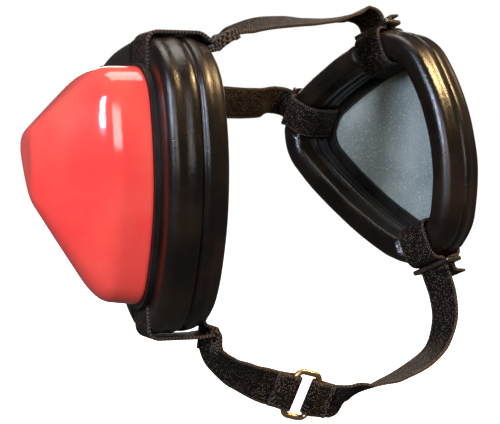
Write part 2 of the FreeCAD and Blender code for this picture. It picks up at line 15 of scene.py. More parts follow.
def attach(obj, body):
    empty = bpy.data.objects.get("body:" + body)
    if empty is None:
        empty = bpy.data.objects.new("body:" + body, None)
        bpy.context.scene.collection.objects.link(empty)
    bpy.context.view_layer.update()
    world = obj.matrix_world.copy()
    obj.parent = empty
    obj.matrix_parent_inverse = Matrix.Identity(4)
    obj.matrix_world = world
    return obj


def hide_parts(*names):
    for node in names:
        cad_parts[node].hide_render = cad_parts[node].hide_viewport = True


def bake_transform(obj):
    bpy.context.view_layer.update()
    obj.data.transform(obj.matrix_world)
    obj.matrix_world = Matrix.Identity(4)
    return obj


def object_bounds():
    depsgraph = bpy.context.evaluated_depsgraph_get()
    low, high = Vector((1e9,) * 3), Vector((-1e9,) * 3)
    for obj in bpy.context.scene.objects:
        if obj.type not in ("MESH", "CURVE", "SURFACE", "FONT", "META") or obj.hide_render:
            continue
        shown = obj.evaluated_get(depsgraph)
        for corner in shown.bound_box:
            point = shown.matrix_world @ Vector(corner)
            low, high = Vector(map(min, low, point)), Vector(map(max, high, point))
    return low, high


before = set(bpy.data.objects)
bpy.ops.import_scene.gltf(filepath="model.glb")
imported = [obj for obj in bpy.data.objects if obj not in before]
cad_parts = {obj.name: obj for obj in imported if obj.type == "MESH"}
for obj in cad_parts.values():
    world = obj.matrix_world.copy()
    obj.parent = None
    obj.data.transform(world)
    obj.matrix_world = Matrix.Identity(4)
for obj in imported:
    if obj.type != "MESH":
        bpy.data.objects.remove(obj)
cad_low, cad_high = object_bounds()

MM = 0.001

# ------------------------------------------------------------------ driving sizes

CORNER = {"crown": (-11.0, 27.5), "nape": (32.5, 20.0), "chin": (-5.5, -31.0)}
CORNER_RADIUS = 21.5
SIDE_RADIUS = {"chin": 243.5, "nape": 153.5, "crown": 101.5}
STRAP_ANGLE = {"crown": 88.0, "nape": 45.0, "chin": -96.0}

CUSHION_DEEP = 25.0
CUSHION_HALF = 7.0
FLANGE_BACK = 27.0
BAND_DEEP = 15.0
SHELL_DEEP = 39.0
SEAM_DEPTH = 11.5
PRESSED_DEEP = 1.95
TAIL_LENGTH = 7.0
STITCH_INSET = 3.4

WEBBING_WIDTH = 16.0
LAYER = 1.4
WEBBING_SINK = 0.9
INNER_LEG = 11.2
OUTER_LEG = 8.3
LEG_END = 14.6
LEG_SPACING = 6.0
LOOP_BEND = 4.2
FRONT_BEND = 6.0
TIP_OUT = {"crown": 3.5, "nape": 4.5, "chin": 8.0}
TIP_DEPTH = -2.5
TAB_LENGTH = 9.0

RING_CENTRE = Vector((48.5, -5.0, -94.5))
RING_SPAN = 12.0
RING_WIDTH = 20.6
RING_WIRE = 1.3
RING_CORNER = 3.2

RIGHT_CENTRE = Vector((116, 43.5, 8))
RIGHT_TURN = (Matrix.Rotation(math.radians(19.0), 3, "Z")
              @ Matrix.Rotation(math.radians(2.0), 3, "Y")
              @ Matrix.Rotation(math.radians(-20.5), 3, "X"))


def ring_axes():
    along = Vector((0.94, 0.03, -0.33)).normalized()
    hint = Vector((-0.33, 0.15, -0.93))
    across = (hint - along * hint.dot(along)).normalized()
    return along, across, along.cross(across)


RING_ALONG, RING_ACROSS, RING_NORMAL = ring_axes()


def to_cup(cup, u, v, depth):
    """Point of a cup's own frame in the frame's axes."""
    if cup == "left":
        return Vector((-depth, u, v))
    return RIGHT_TURN @ Vector((depth, u, v)) + RIGHT_CENTRE


def cup_way(cup, u, v, depth):
    """Direction of a cup's own frame in the frame's axes."""
    return to_cup(cup, u, v, depth) - to_cup(cup, 0, 0, 0)


# ------------------------------------------------------------------ camera and light

def aim(thing, place, azimuth, tilt):
    """Puts a camera at place, looking along azimuth and down by tilt degrees."""
    thing.location = Vector(place) * MM
    thing.rotation_euler = Euler((math.radians(90 - tilt), 0, math.radians(azimuth)))


def make_camera():
    data = bpy.data.cameras.new("camera")
    data.lens = 70.15
    data.sensor_width = 36
    data.clip_start = 0.01
    data.clip_end = 20
    camera = bpy.data.objects.new("camera", data)
    bpy.context.scene.collection.objects.link(camera)
    aim(camera, (-147.5, -364.5, 33.0), -25.5, 6.7)
    bpy.context.scene.camera = camera


def area_light(name, place, target, width, height, power, colour):
    data = bpy.data.lights.new(name, "AREA")
    data.shape = "RECTANGLE"
    data.size = width
    data.size_y = height
    data.energy = power
    data.color = colour
    light = bpy.data.objects.new(name, data)
    bpy.context.scene.collection.objects.link(light)
    light.location = place
    light.rotation_euler = (Vector(target) - Vector(place)).to_track_quat("-Z", "Y").to_euler()


def make_studio():
    middle = (0.06, 0.03, 0.0)
    area_light("key_warm", (0.85, -0.45, 0.85), middle, 0.26, 0.26, 24, (1.0, 0.68, 0.32))
    area_light("window_cool", (-0.85, -0.60, 0.45), middle, 0.18, 0.40, 17, (0.66, 0.75, 1.0))
    area_light("front_soft", (-0.35, -1.2, 0.35), middle, 0.6, 0.4, 6, (1.0, 0.96, 0.92))
    area_light("top_soft", (0.05, 0.15, 1.0), middle, 0.6, 0.6, 6, (1.0, 0.94, 0.85))
    area_light("back_soft", (0.45, 0.9, 0.25), middle, 0.6, 0.6, 4, (1.0, 0.93, 0.86))

    world = bpy.data.worlds.new("studio")
    bpy.context.scene.world = world
    world.use_nodes = True
    tree = world.node_tree
    tree.nodes.clear()
    output = tree.nodes.new("ShaderNodeOutputWorld")
    glow = tree.nodes.new("ShaderNodeBackground")
    glow.inputs["Color"].default_value = (1.0, 0.99, 0.98, 1)
    glow.inputs["Strength"].default_value = 0.10
    paper = tree.nodes.new("ShaderNodeBackground")
    paper.inputs["Color"].default_value = (1, 1, 1, 1)
    paper.inputs["Strength"].default_value = 1.0
    path = tree.nodes.new("ShaderNodeLightPath")
    mix = tree.nodes.new("ShaderNodeMixShader")
    tree.links.new(path.outputs["Is Camera Ray"], mix.inputs["Fac"])
    tree.links.new(glow.outputs[0], mix.inputs[1])
    tree.links.new(paper.outputs[0], mix.inputs[2])
    tree.links.new(mix.outputs[0], output.inputs["Surface"])
    bpy.context.scene.view_settings.view_transform = "Standard"


def make_floor():
    """Pale table well below the object, which hangs as if it were worn."""
    mesh = bpy.data.meshes.new("floor")
    low = cad_low.z - 0.16
    side = 6.0
    mesh.from_pydata([(-side, -side, low), (side, -side, low), (side, side, low),
                      (-side, side, low)], [], [(0, 1, 2, 3)])
    floor = bpy.data.objects.new("floor", mesh)
    bpy.context.scene.collection.objects.link(floor)
    material = bpy.data.materials.new("pale_floor")
    material.use_nodes = True
    surface = material.node_tree.nodes["Principled BSDF"]
    surface.inputs["Base Color"].default_value = (0.95, 0.95, 0.95, 1)
    surface.inputs["Roughness"].default_value = 0.9
    surface.inputs["Emission Color"].default_value = (1, 1, 1, 1)
    surface.inputs["Emission Strength"].default_value = 1.0
    mesh.materials.append(material)
    floor.visible_diffuse = False
    floor.visible_glossy = False


# ------------------------------------------------------------------ shader groups

def node_group(name, inputs, outputs):
    """Empty shader group with named sockets; returns the tree and its two end nodes."""
    tree = bpy.data.node_groups.new(name, "ShaderNodeTree")
    for title, kind, value in inputs:
        socket = tree.interface.new_socket(title, in_out="INPUT", socket_type=kind)
        if value is not None:
            socket.default_value = value
    for title, kind in outputs:
        tree.interface.new_socket(title, in_out="OUTPUT", socket_type=kind)
    return tree, tree.nodes.new("NodeGroupInput"), tree.nodes.new("NodeGroupOutput")


def fill(tree, node, values):
    """Sets a node's inputs, named by title or as i0, i1, ...; a value may be an output."""
    for word, value in values.items():
        numbered = word[0] == "i" and word[1:].isdigit()
        socket = node.inputs[int(word[1:]) if numbered else word.replace("_", " ")]
        if isinstance(value, bpy.types.NodeSocket):
            tree.links.new(value, socket)
        else:
            socket.default_value = value
    return node


def put(tree, kind, settings=None, **values):
    """New node with its settings and input values."""
    node = tree.nodes.new(kind)
    for word, value in (settings or {}).items():
        setattr(node, word, value)
    return fill(tree, node, values)


def sums(tree, operation, first, second=None, third=None):
    values = {f"i{k}": value for k, value in enumerate((first, second, third)) if value is not None}
    return put(tree, "ShaderNodeMath", {"operation": operation}, **values).outputs[0]


def span(tree, value, low, high, to_low=0.0, to_high=1.0):
    node = put(tree, "ShaderNodeMapRange", {"interpolation_type": "SMOOTHSTEP"}, i0=value, i1=low,
               i2=high, i3=to_low, i4=to_high)
    return node.outputs[0]


def blend_colour(tree, share, first, second):
    node = put(tree, "ShaderNodeMix", {"data_type": "RGBA"}, i0=share, i6=first, i7=second)
    return node.outputs[2]


def build_grain():
    """Fine cell grain with soft mottling, for vinyl and moulded plastic."""
    tree, start, end = node_group(
        "surface_grain",
        [("Position", "NodeSocketVector", None), ("Cells per metre", "NodeSocketFloat", 900.0),
         ("Mottle per metre", "NodeSocketFloat", 60.0)],
        [("Height", "NodeSocketFloat"), ("Mottle", "NodeSocketFloat")])
    cells = put(tree, "ShaderNodeTexVoronoi", {"feature": "DISTANCE_TO_EDGE"},
                Vector=start.outputs[0], Scale=start.outputs[1])
    mottle = put(tree, "ShaderNodeTexNoise", Vector=start.outputs[0], Scale=start.outputs[2],
                 Detail=5.0)
    height = span(tree, cells.outputs["Distance"], 0.0, 0.25)
    tree.links.new(height, end.inputs["Height"])
    tree.links.new(span(tree, mottle.outputs[0], 0.3, 0.7), end.inputs["Mottle"])
    return tree


def build_dust():
    """Sparse pale specks of lint and dust."""
    tree, start, end = node_group(
        "dust_specks",
        [("Position", "NodeSocketVector", None), ("Specks per metre", "NodeSocketFloat", 500.0),
         ("Amount", "NodeSocketFloat", 0.3)],
        [("Mask", "NodeSocketFloat")])
    dots = put(tree, "ShaderNodeTexVoronoi", Vector=start.outputs[0], Scale=start.outputs[1])
    near = span(tree, dots.outputs["Distance"], 0.18, 0.05)
    where = put(tree, "ShaderNodeTexNoise", Vector=start.outputs[0], Scale=90.0, Detail=3.0)
    patchy = span(tree, where.outputs[0], 0.5, 0.72)
    mask = sums(tree, "MULTIPLY", sums(tree, "MULTIPLY", near, patchy), start.outputs[2])
    tree.links.new(mask, end.inputs["Mask"])
    return tree


def build_weave():
    """Plain-woven tape: along and across are millimetres on the strap's own UV map."""
    tree, start, end = node_group(
        "tape_weave",
        [("Tape UV", "NodeSocketVector", None), ("Thread pitch", "NodeSocketFloat", 0.72),
         ("Half width", "NodeSocketFloat", 8.0)],
        [("Height", "NodeSocketFloat"), ("Glint", "NodeSocketFloat"),
         ("Selvedge", "NodeSocketFloat")])
    split = put(tree, "ShaderNodeSeparateXYZ", Vector=start.outputs[0])
    along, across = split.outputs[0], split.outputs[1]
    pitch = start.outputs[1]
    column = sums(tree, "DIVIDE", across, pitch)
    odd = sums(tree, "MULTIPLY", sums(tree, "FLOOR", column), 0.5)
    row = sums(tree, "ADD", sums(tree, "DIVIDE", along, sums(tree, "MULTIPLY", pitch, 1.25)), odd)
    rib = sums(tree, "ABSOLUTE", sums(tree, "SINE", sums(tree, "MULTIPLY", column, math.pi)))
    bead = sums(tree, "ABSOLUTE", sums(tree, "SINE", sums(tree, "MULTIPLY", row, math.pi)))
    knot = sums(tree, "MULTIPLY", rib, bead)
    place = put(tree, "ShaderNodeCombineXYZ", i0=sums(tree, "FLOOR", row),
                i1=sums(tree, "FLOOR", column), i2=0.0)
    chance = put(tree, "ShaderNodeTexWhiteNoise", {"noise_dimensions": "2D"},
                 Vector=place.outputs[0])
    lucky = span(tree, chance.outputs[0], 0.5, 0.95)
    glint = sums(tree, "MULTIPLY", span(tree, knot, 0.55, 0.95), lucky)
    edge = span(tree, sums(tree, "ABSOLUTE", across), sums(tree, "SUBTRACT", start.outputs[2], 1.5),
                sums(tree, "SUBTRACT", start.outputs[2], 0.9))
    twist = sums(tree, "ABSOLUTE", sums(tree, "SINE", sums(
        tree, "MULTIPLY", sums(tree, "ADD", along, across), 2.2)))
    selvedge = sums(tree, "MULTIPLY", edge, span(tree, twist, 0.45, 0.9))
    tree.links.new(sums(tree, "ADD", knot, sums(tree, "MULTIPLY", selvedge, 0.15)),
                   end.inputs["Height"])
    tree.links.new(glint, end.inputs["Glint"])
    tree.links.new(selvedge, end.inputs["Selvedge"])
    return tree


GRAIN = build_grain()
DUST = build_dust()
WEAVE = build_weave()


def use_group(tree, group, **values):
    node = tree.nodes.new("ShaderNodeGroup")
    node.node_tree = group
    return fill(tree, node, values)


def clouds(tree, where, scale, detail=2.0):
    node = put(tree, "ShaderNodeTexNoise", Vector=where, Scale=scale, Detail=detail)
    return node.outputs[0]


def grain_at(tree, where, cells, mottle):
    return use_group(tree, GRAIN, Position=where, Cells_per_metre=cells, Mottle_per_metre=mottle)


def dust_at(tree, where, specks, amount):
    group = use_group(tree, DUST, Position=where, Specks_per_metre=specks, Amount=amount)
    return group.outputs[0]


def new_material(name, **constants):
    """Principled material with constants set; returns it, its tree, shader and position."""
    material = bpy.data.materials.new(name)
    material.use_nodes = True
    tree = material.node_tree
    shader = tree.nodes["Principled BSDF"]
    for word, value in constants.items():
        shader.inputs[word.replace("_", " ")].default_value = value
    where = tree.nodes.new("ShaderNodeTexCoord").outputs["Object"]
    return material, tree, shader, where


def paint(tree, shader, colour, rough=None):
    """Links a colour, and a roughness that runs with (value, low, high, rough at each)."""
    tree.links.new(colour, shader.inputs["Base Color"])
    if rough:
        tree.links.new(span(tree, *rough), shader.inputs["Roughness"])


def bump(tree, shader, height, distance, strength=1.0):
    node = put(tree, "ShaderNodeBump", Height=height, Distance=distance, Strength=strength)
    tree.links.new(node.outputs[0], shader.inputs["Normal"])


def coral_moulding():
    material, tree, shader, where = new_material(
        "coral_moulding", Specular_IOR_Level=0.55, Coat_Roughness=0.04, Coat_Weight=0.35)
    grain = grain_at(tree, where, 1600.0, 28.0)
    dust = dust_at(tree, where, 700.0, 0.35)
    deep, pale = (0.98, 0.055, 0.045, 1), (1.0, 0.105, 0.07, 1)
    body = blend_colour(tree, grain.outputs["Mottle"], deep, pale)
    colour = blend_colour(tree, dust, body, (1.0, 0.45, 0.38, 1))
    paint(tree, shader, colour, (grain.outputs["Mottle"], 0.0, 1.0, 0.10, 0.20))
    ripple = clouds(tree, where, 140.0, 2.0)
    bump(tree, shader, ripple, 0.0004, 0.25)
    return material


def welded_vinyl():
    material, tree, shader, where = new_material("welded_vinyl", Specular_IOR_Level=0.42)
    grain = grain_at(tree, where, 1050.0, 45.0)
    dust = dust_at(tree, where, 650.0, 0.12)
    dark, brown = (0.004, 0.0025, 0.0018, 1), (0.013, 0.007, 0.0035, 1)
    body = blend_colour(tree, grain.outputs["Mottle"], dark, brown)
    colour = blend_colour(tree, dust, body, (0.30, 0.24, 0.18, 1))
    paint(tree, shader, colour, (grain.outputs["Mottle"], 0.0, 1.0, 0.24, 0.33))
    creases = clouds(tree, where, 260.0, 3.0)
    height = sums(tree, "ADD", sums(tree, "MULTIPLY", grain.outputs["Height"], 0.35), creases)
    bump(tree, shader, height, 0.00012, 0.55)
    return material


def speckled_foam():
    material, tree, shader, where = new_material(
        "speckled_foam", Roughness=0.95, Specular_IOR_Level=0.15, Sheen_Weight=0.2)
    pores = put(tree, "ShaderNodeTexVoronoi", Vector=where, Scale=1700.0)
    fleck = clouds(tree, where, 1150.0, 2.0)
    shade = clouds(tree, where, 40.0, 3.0)
    base = blend_colour(tree, span(tree, shade, 0.35, 0.65), (0.24, 0.285, 0.25, 1),
                        (0.34, 0.38, 0.335, 1))
    dotted = blend_colour(tree, span(tree, fleck, 0.56, 0.66), base, (0.47, 0.50, 0.44, 1))
    colour = blend_colour(tree, span(tree, pores.outputs["Distance"], 0.30, 0.08), dotted,
                          (0.15, 0.18, 0.155, 1))
    paint(tree, shader, colour)
    bump(tree, shader, pores.outputs["Distance"], 0.0005, 0.8)
    return material


def woven_tape():
    material, tree, shader, where = new_material(
        "woven_tape", Specular_IOR_Level=0.12)
    uv = tree.nodes.new("ShaderNodeUVMap")
    uv.uv_map = "tape"
    weave = use_group(tree, WEAVE, Tape_UV=uv.outputs[0])
    dust = dust_at(tree, where, 900.0, 0.5)
    shade = clouds(tree, where, 70.0, 3.0)
    body = blend_colour(tree, span(tree, shade, 0.35, 0.7), (0.004, 0.0025, 0.002, 1),
                        (0.012, 0.007, 0.0045, 1))
    lit = blend_colour(tree, weave.outputs["Glint"], body, (0.26, 0.18, 0.12, 1))
    edged = blend_colour(tree, sums(tree, "MULTIPLY", weave.outputs["Selvedge"], 0.3), lit,
                         (0.26, 0.20, 0.16, 1))
    colour = blend_colour(tree, dust, edged, (0.42, 0.36, 0.30, 1))
    paint(tree, shader, colour, (weave.outputs["Height"], 0.0, 1.0, 0.85, 0.5))
    bump(tree, shader, weave.outputs["Height"], 0.0005, 0.9)
    return material


def slide_plastic():
    material, tree, shader, where = new_material(
        "slide_plastic", Specular_IOR_Level=0.7, Coat_Weight=0.6, Coat_Roughness=0.08)
    grain = grain_at(tree, where, 2400.0, 220.0)
    dust = dust_at(tree, where, 1200.0, 0.2)
    body = blend_colour(tree, grain.outputs["Mottle"], (0.010, 0.007, 0.005, 1),
                        (0.030, 0.018, 0.011, 1))
    colour = blend_colour(tree, dust, body, (0.25, 0.20, 0.16, 1))
    paint(tree, shader, colour, (grain.outputs["Mottle"], 0.0, 1.0, 0.16, 0.30))
    bump(tree, shader, grain.outputs["Height"], 0.00005, 0.4)
    return material


def brass_wire():
    material, tree, shader, where = new_material("brass_wire")
    grain = grain_at(tree, where, 3000.0, 260.0)
    shader.inputs["Metallic"].default_value = 1.0
    colour = blend_colour(tree, grain.outputs["Mottle"], (0.45, 0.26, 0.11, 1),
                          (0.92, 0.66, 0.36, 1))
    paint(tree, shader, colour, (grain.outputs["Mottle"], 0.0, 1.0, 0.38, 0.18))
    bump(tree, shader, grain.outputs["Height"], 0.00004, 0.3)
    return material


def flange_plastic():
    material, tree, shader, where = new_material("flange_plastic", Specular_IOR_Level=0.4)
    grain = grain_at(tree, where, 1500.0, 80.0)
    colour = blend_colour(tree, grain.outputs["Mottle"], (0.005, 0.004, 0.0035, 1),
                          (0.012, 0.009, 0.007, 1))
    paint(tree, shader, colour, (grain.outputs["Mottle"], 0.0, 1.0, 0.4, 0.55))
    bump(tree, shader, grain.outputs["Height"], 0.00008, 0.5)
    return material


def stitch_thread():
    material, tree, shader, where = new_material("stitch_thread", Sheen_Weight=0.3)
    strands = clouds(tree, where, 2500.0, 2.0)
    colour = blend_colour(tree, span(tree, strands, 0.4, 0.6), (0.02, 0.014, 0.011, 1),
                          (0.11, 0.08, 0.06, 1))
    paint(tree, shader, colour, (strands, 0.3, 0.7, 0.75, 0.5))
    bump(tree, shader, strands, 0.0001, 0.6)
    return material


CORAL = coral_moulding()
VINYL = welded_vinyl()
FOAM = speckled_foam()
TAPE = woven_tape()
SLIDE = slide_plastic()
BRASS = brass_wire()
FLANGE = flange_plastic()
THREAD = stitch_thread()


# ------------------------------------------------------------------ mesh helpers

def finish_mesh(name, mesh, material, smooth=True):
    """Object from a closed mesh, with its faces turned outwards."""
    work = bmesh.new()
    work.from_mesh(mesh)
    bmesh.ops.recalc_face_normals(work, faces=work.faces)
    work.to_mesh(mesh)
    work.free()
    mesh.materials.clear()
    mesh.materials.append(material)
    mesh.polygons.foreach_set("use_smooth", [smooth] * len(mesh.polygons))
    thing = bpy.data.objects.new(name, mesh)
    bpy.context.scene.collection.objects.link(thing)
    return thing


def skin(name, rows, material, wrap_rows=False, wrap_columns=True, cap_start=False, cap_end=False,
         uv=None):
    """Quads over a grid of points in millimetres; capped ends close with a fan to their middle."""
    grid = np.array(rows, float)
    count, size = grid.shape[:2]
    points = [tuple(p) for p in grid.reshape(-1, 3) * MM]
    faces = []
    corners = []
    last_row = count if wrap_rows else count - 1
    last_column = size if wrap_columns else size - 1
    for i in range(last_row):
        for j in range(last_column):
            a, b = (i + 1) % count, (j + 1) % size
            faces.append((i * size + j, i * size + b, a * size + b, a * size + j))
            corners.append(((i, j), (i, j + 1), (i + 1, j + 1), (i + 1, j)))
    for row, wanted in ((0, cap_start), (count - 1, cap_end)):
        if not wanted:
            continue
        centre = len(points)
        points.append(tuple(grid[row].mean(0) * MM))
        for j in range(size):
            faces.append((row * size + j, row * size + (j + 1) % size, centre))
            corners.append(((row, j), (row, j + 1), (row, j + 0.5)))
    mesh = bpy.data.meshes.new(name)
    mesh.from_pydata(points, [], faces)
    if uv is not None:
        layer = mesh.uv_layers.new(name="tape")
        values = [uv(i, j) for face in corners for i, j in face]
        layer.data.foreach_set("uv", np.array(values, np.float32).ravel())
    return finish_mesh(name, mesh, material)


def smoothstep(value, low, high):
    share = np.clip((np.asarray(value, float) - low) / (high - low), 0, 1)
    return share * share * (3 - 2 * share)


# ------------------------------------------------------------------ cup outline

def side_centre(start, end, radius):
    """Centre of the side arc that two equal corner circles touch from inside."""
    chord = end - start
    rise = math.sqrt((radius - CORNER_RADIUS) ** 2 - chord.length_squared / 4)
    left = Vector((-chord.y, chord.x)).normalized()
    return (start + end) / 2 + left * rise


def cup_outline(step=1.3):
    """Points and outward normals of the cup's middle line, and which lie on a corner."""
    names = ("chin", "nape", "crown")
    corners = [Vector(CORNER[name]) for name in names]
    middles = [side_centre(corners[i], corners[(i + 1) % 3], SIDE_RADIUS[names[i]])
               for i in range(3)]
    points, normals, bends = [], [], []

    def walk(centre, radius, first, last, bend):
        start = math.atan2(first.y, first.x)
        sweep = (math.atan2(last.y, last.x) - start) % (2 * math.pi)
        count = max(3, round(radius * sweep / step))
        for k in range(count):
            angle = start + sweep * k / count
            way = (math.cos(angle), math.sin(angle))
            points.append((centre.x + radius * way[0], centre.y + radius * way[1]))
            normals.append(way)
            bends.append(bend * math.sin(math.pi * k / count))

    for i in range(3):
        j = (i + 1) % 3
        radius = SIDE_RADIUS[names[i]]
        walk(middles[i], radius, corners[i] - middles[i], corners[j] - middles[i], 0.0)
        walk(corners[j], CORNER_RADIUS, corners[j] - middles[i], corners[j] - middles[j], 1.0)
    return np.array(points), np.array(normals), np.array(bends)


OUTLINE, NORMALS, BENDS = cup_outline()


def station(name):
    """Point on the middle line where a strap leaves, and the strap's and tube's directions."""
    angle = math.radians(STRAP_ANGLE[name])
    out = np.array([math.cos(angle), math.sin(angle)])
    return np.array(CORNER[name]) + out * CORNER_RADIUS, out, np.array([-out[1], out[0]])


def level(offset, depth, scale=1.0, shift=(0.0, 0.0)):
    """Outline in a cup's frame: (u, v, depth) for every sample."""
    flat = OUTLINE * scale + np.array(shift) + NORMALS * offset
    return np.c_[flat, np.full(len(flat), float(depth))]


def place(cup, grid):
    """Grid of cup-frame points in the frame's axes."""
    shape = np.array(grid, float)
    flat = [to_cup(cup, *p) for p in shape.reshape(-1, 3)]
    return np.array(flat).reshape(shape.shape)


# ------------------------------------------------------------------ shell

RIM_OFFSET = -4.5
BAND_OFFSET = -6.0
RIM = level(RIM_OFFSET, FLANGE_BACK, shift=(0, 0.5))
BAND = level(BAND_OFFSET, FLANGE_BACK + BAND_DEEP, shift=(0, 1.5))
NOSE = level(-1.0, FLANGE_BACK + SHELL_DEEP, scale=0.27, shift=(0.2, 8.6))
SHELL_WALL = 2.5


def turned(first, corner, last, reach_in, reach_out, count):
    """Rows that round the corner between two straight stretches."""
    start = corner + (first - corner) * reach_in
    end = corner + (last - corner) * reach_out
    rows = []
    for t in np.linspace(0, 1, count):
        rows.append(start * (1 - t) ** 2 + corner * 2 * t * (1 - t) + end * t * t)
    return rows


def straight(first, last, low, high, count):
    return [first + (last - first) * t for t in np.linspace(low, high, count)]


def make_shell(cup):
    """Side band, rounded crease, tapered facets and a small end face, with a real wall."""
    centre = NOSE * 0 + NOSE.mean(0)
    centre[:, 2] = FLANGE_BACK + SHELL_DEEP
    inner_rim = level(RIM_OFFSET - SHELL_WALL, FLANGE_BACK, shift=(0, 0.5))
    inner_band = level(BAND_OFFSET - SHELL_WALL, FLANGE_BACK + BAND_DEEP, shift=(0, 1.5))
    inner_nose = NOSE + (centre - NOSE) * 0.5
    inner_nose[:, 2] -= SHELL_WALL
    rows = [inner_rim + (RIM - inner_rim) * 0.5]
    rows += [RIM + (inner_rim - RIM) * 0.12, RIM + (BAND - RIM) * 0.03]
    rows += straight(RIM, BAND, 0.10, 0.62, 6)
    rows += turned(RIM, BAND, NOSE, 0.30, 0.20, 9)
    rows += straight(BAND, NOSE, 0.26, 0.84, 9)
    rows += turned(BAND, NOSE, centre, 0.10, 0.35, 7)
    rows += straight(NOSE, centre, 0.5, 0.94, 4)
    outer = skin_rows(rows)
    inside = straight(inner_nose, inner_band, 0.0, 1.0, 4)
    inside += straight(inner_band, inner_rim, 0.3, 1, 3)
    shell = skin(f"{cup}_shell_moulding", place(cup, inside + outer), CORAL, cap_start=True,
                 cap_end=True)
    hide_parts(f"{cup}_shell")
    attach(shell, f"{cup}_cup")


def skin_rows(rows):
    """Slight hand-finished waviness, so that reflections don't look ruled."""
    waved = []
    for row in rows:
        out = row.copy()
        for k, (u, v, depth) in enumerate(row):
            ripple = noise.noise(Vector((u, v, depth)) * 0.045)
            out[k, :2] += NORMALS[k] * ripple * 0.35
        waved.append(out)
    return waved


# ------------------------------------------------------------------ cushion and liner

SECTION_POINTS = 116
FRONT_POWER = 2.7
BACK_POWER = 4.6


def cushion_section():
    """(out, depth) round the tube: a soft front, and a fuller back against the flange."""
    angles = np.linspace(0, 2 * math.pi, 4001)
    c, s = np.cos(angles), np.sin(angles)
    power = FRONT_POWER + (BACK_POWER - FRONT_POWER) * smoothstep(s, -0.3, 0.5)
    out = CUSHION_HALF * np.sign(c) * np.abs(c) ** (2 / power)
    depth = CUSHION_DEEP / 2 * (1 + np.sign(s) * np.abs(s) ** (2 / power))
    runs = np.r_[0, np.cumsum(np.hypot(np.diff(out), np.diff(depth)))]
    even = np.linspace(0, runs[-1], SECTION_POINTS, endpoint=False)
    return np.interp(even, runs, out), np.interp(even, runs, depth)


def make_cushion(cup):
    """Two welded lobes of vinyl round the ear, pinched at the seam and under each loop."""
    out, depth = cushion_section()
    outer_side = smoothstep(out, 2.5, 6) - smoothstep(-out, 2.5, 6)
    groove = np.exp(-((depth - SEAM_DEPTH) / 0.8) ** 2)
    lip = np.exp(-((depth - SEAM_DEPTH + 1.5) / 0.45) ** 2)
    lobes = 0.45 * np.cos((depth - SEAM_DEPTH) * math.pi / 7) ** 2
    out = out - outer_side * (1.25 * groove - 0.25 * lip + lobes - 0.35)
    stations = [station(name) for name in STRAP_ANGLE]
    rows = []
    for point, normal, bend in zip(OUTLINE, NORMALS, BENDS):
        flat = point + np.outer(out, normal)
        deep = depth.copy()
        for middle, way, tube in stations:
            local = flat - middle
            beside = np.abs(local @ tube)
            near = smoothstep(local @ way, -18, -14)
            under = (1 - smoothstep(beside, 8.0, 10.5)) * near
            deep += under * np.maximum(0, PRESSED_DEEP - deep)
            deep -= under * np.maximum(0, deep - CUSHION_DEEP + PRESSED_DEEP)
            bulge = np.exp(-((beside - 10.8) / 1.6) ** 2) * near
            flat += np.outer(bulge * 0.30 * np.sign(out), normal)
        row = []
        for (u, v), d, side in zip(flat, deep, out):
            swell = noise.noise(Vector((u, v, d)) * 0.07) * 0.30
            inner = float(smoothstep(-side, 2, 6)) * bend
            pucker = inner * 0.35 * noise.noise(Vector((u * 0.9, v * 0.9, d * 0.12)))
            move = normal * (swell * np.sign(side) * min(1, abs(side) / 5) + pucker)
            row.append((u + move[0], v + move[1], d))
        rows.append(row)
    cushion = skin(f"{cup}_vinyl_cushion", place(cup, rows), VINYL, wrap_rows=True)
    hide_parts(f"{cup}_cushion_cover", f"{cup}_cushion_foam")
    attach(cushion, f"{cup}_cup")


LINER_OFFSET = -9.5
LINER_DEEP = 8.6


def make_liner(cup):
    """Soft-edged slab of foam behind the opening, lightly dished and pressed."""
    front = FLANGE_BACK + 0.05
    rim = level(LINER_OFFSET, front)
    middle = rim * 0 + rim.mean(0)
    rows = []
    for share in (0.99, 0.96, 0.9, 0.8, 0.65, 0.5, 0.35, 0.2, 0.08):
        rows.append(rim + (middle - rim) * (1 - share))
    rows.reverse()
    for row in rows:
        for k, (u, v, _) in enumerate(row):
            reach = math.hypot(u - middle[0, 0], v - middle[0, 1]) / 36
            dish = 1.6 * (1 - min(1, reach) ** 2)
            row[k, 2] = front + dish + 0.5 * noise.noise(Vector((u, v, 3)) * 0.06) + 0.25
    edge = level(LINER_OFFSET, front + 0.9)
    back = level(LINER_OFFSET - 0.6, front + LINER_DEEP)
    rows += [edge, level(LINER_OFFSET, front + LINER_DEEP - 1), back,
             back + (middle - back) * np.array([0.5, 0.5, 0])]
    liner = skin(f"{cup}_foam_sheet", place(cup, rows), FOAM, cap_start=True, cap_end=True)
    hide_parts(f"{cup}_foam_liner")
    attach(liner, f"{cup}_cup")


# ------------------------------------------------------------------ webbing

def tape_section():
    """Rounded flat section: (across, through) in millimetres, and the across value for UV."""
    half, thick, soft = WEBBING_WIDTH / 2, LAYER / 2, 0.55
    top = [(x, thick) for x in np.linspace(half - soft, -half + soft, 9)]
    bottom = [(-x, -thick) for x, _ in top]
    left = [(-half + soft * (1 - math.sin(a)), thick * math.cos(a)) for a in (0.7, 1.57, 2.44)]
    right = [(-x, -y) for x, y in left]
    return top + left + bottom + right


TAPE_SECTION = tape_section()


